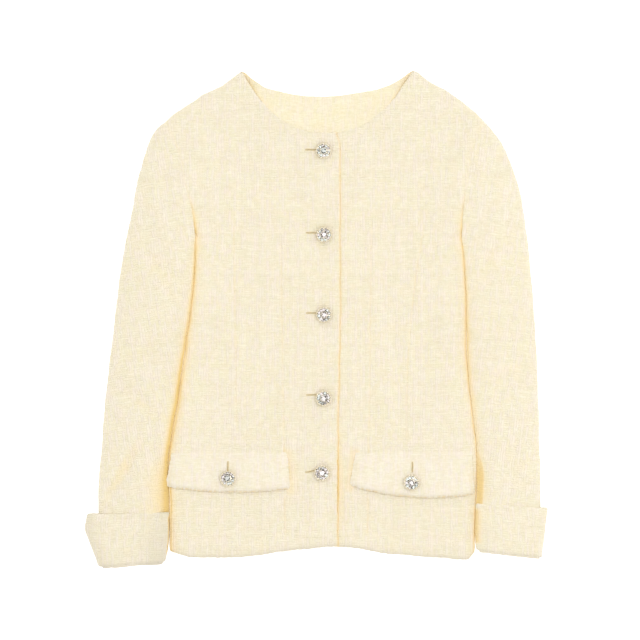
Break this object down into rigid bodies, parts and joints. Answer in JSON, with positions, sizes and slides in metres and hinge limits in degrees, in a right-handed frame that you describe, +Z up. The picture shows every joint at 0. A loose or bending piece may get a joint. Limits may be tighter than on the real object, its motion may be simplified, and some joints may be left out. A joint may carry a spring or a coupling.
{
  "type": "cropped tweed jacket",
  "caption": "Cropped round-neck tweed jacket laid flat and buttoned, with bracelet-length sleeves, turned-up cuffs, pocket flaps and jewelled buttons.",
  "frame": {"origin": "middle of the jacket's box, on the surface it lies on", "axes": "+X towards the wearer's left side, +Y from hem to neck, +Z up from the surface through the fronts"},
  "size_m": [0.5312, 0.5706, 0.0315],
  "materials": {
    "tweed": "cream boucle tweed, matt and slightly hairy",
    "facing_tweed": "the same tweed seen inside the neck, warmer in the shade",
    "button_metal": "pale champagne gold, polished",
    "crystal": "clear faceted glass on silver foil",
    "thread": "cream buttonhole twist"
  },
  "bodies": {
    "root": {"back": "tweed", "back_neck_facing": "facing_tweed", "button_flap_left": "button_metal", "button_flap_right": "button_metal", "button_front_1": "button_metal", "button_front_2": "button_metal", "button_front_3": "button_metal", "button_front_4": "button_metal", "button_front_5": "button_metal", "cuff_left": "tweed", "cuff_right": "tweed", "flap_left": "tweed", "flap_right": "tweed", "front_left": "tweed", "front_right": "tweed", "sleeve_under_left_1": "tweed", "sleeve_under_left_2": "tweed", "sleeve_under_left_3": "tweed", "sleeve_under_left_4": "tweed", "sleeve_under_right_1": "tweed", "sleeve_under_right_2": "tweed", "sleeve_under_right_3": "tweed", "sleeve_under_right_4": "tweed", "sleeve_upper_left_1": "tweed", "sleeve_upper_left_2": "tweed", "sleeve_upper_left_3": "tweed", "sleeve_upper_left_4": "tweed", "sleeve_upper_right_1": "tweed", "sleeve_upper_right_2": "tweed", "sleeve_upper_right_3": "tweed", "sleeve_upper_right_4": "tweed"}
  },
  "joints": []
}
